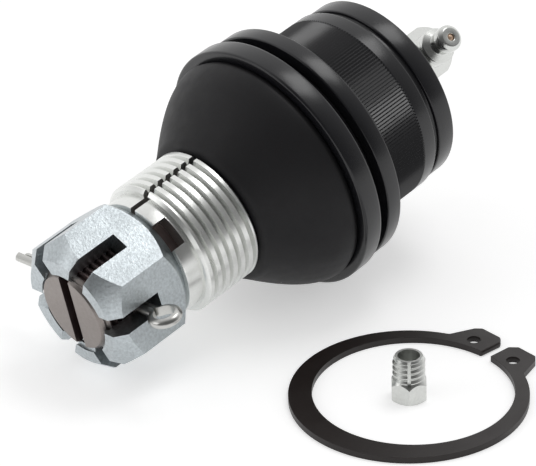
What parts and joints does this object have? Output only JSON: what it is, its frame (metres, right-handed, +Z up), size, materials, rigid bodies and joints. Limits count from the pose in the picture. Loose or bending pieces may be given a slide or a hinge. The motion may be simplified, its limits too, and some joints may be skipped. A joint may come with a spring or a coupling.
{
  "type": "suspension ball joint",
  "caption": "Press-fit greaseable ball joint lying on a bench, with split adjusting sleeve, castle nut and cotter pin, beside its loose retaining ring and grease plug.",
  "frame": {"origin": "centre of the ball, on the axis of the press-fit barrel", "axes": "+X along the bench towards the cap end, +Z up from the bench; the joint's own axis lies in the XZ plane and rises towards the cap"},
  "size_m": [0.1272, 0.1221, 0.0657],
  "materials": {
    "black_paint": "satin black paint over machined steel, straight knurl on the barrel",
    "seat_metal": "sintered, oil-soaked",
    "spring_steel": "hardened, dark",
    "seal_rubber": "matte",
    "stud_steel": "machined alloy steel, phosphated",
    "sleeve_zinc": "bright zinc plate over turned thread",
    "nut_zinc": "blue-white zinc plate, grained",
    "pin_steel": "plain drawn wire",
    "boot_rubber": "matte black",
    "ring_black": "satin black",
    "fitting_zinc": "bright zinc plate",
    "snap_ring_phosphate": "black-brown phosphate",
    "plug_zinc": "bright zinc plate"
  },
  "bodies": {
    "housing": {"housing": "black_paint", "bearing_seat": "seat_metal", "pressure_seat": "seat_metal", "disc_spring": "spring_steel", "end_cover": "black_paint", "cover_seal": "seal_rubber", "boot_base_ring": "ring_black", "grease_elbow": "fitting_zinc", "grease_nipple": "fitting_zinc", "check_spring": "spring_steel"},
    "boot": {"boot": "boot_rubber"},
    "neck_ring": {"boot_neck_ring": "spring_steel"},
    "stud": {"ball_stud": "stud_steel", "adjusting_sleeve": "sleeve_zinc", "castle_nut": "nut_zinc", "cotter_pin": "pin_steel"},
    "check_ball": {"check_ball": "spring_steel"},
    "retaining_ring": {"retaining_ring": "snap_ring_phosphate"},
    "grease_plug": {"grease_plug": "plug_zinc"}
  },
  "joints": [
    {"name": "stud_swing", "type": "hinge", "parent": "housing", "child": "boot", "pos_m": [0, 0, 0], "axis": [-0.978, 0, -0.2088], "continuous": true},
    {"name": "stud_tilt", "type": "hinge", "parent": "boot", "child": "neck_ring", "pos_m": [0, 0, 0], "axis": [0, 1, 0], "range_deg": [-25, 25], "deforming": ["boot"]},
    {"name": "stud_spin", "type": "hinge", "parent": "neck_ring", "child": "stud", "pos_m": [0, 0, 0], "axis": [-0.978, 0, -0.2088], "continuous": true},
    {"name": "check_ball_travel", "type": "slide", "parent": "housing", "child": "check_ball", "axis": [0.1347, 0.7638, -0.6312], "range_m": [0, 0.0006], "stiffness_N_per_m": 300, "springref_m": -0.0004, "deforming": ["check_spring"]},
    {"name": "retaining_ring_lift", "type": "slide", "parent": "housing", "child": "retaining_ring", "axis": [0, 0, 1], "range_m": [0, 0.03]},
    {"name": "grease_plug_lift", "type": "slide", "parent": "housing", "child": "grease_plug", "axis": [0, 0, 1], "range_m": [0, 0.03]}
  ]
}
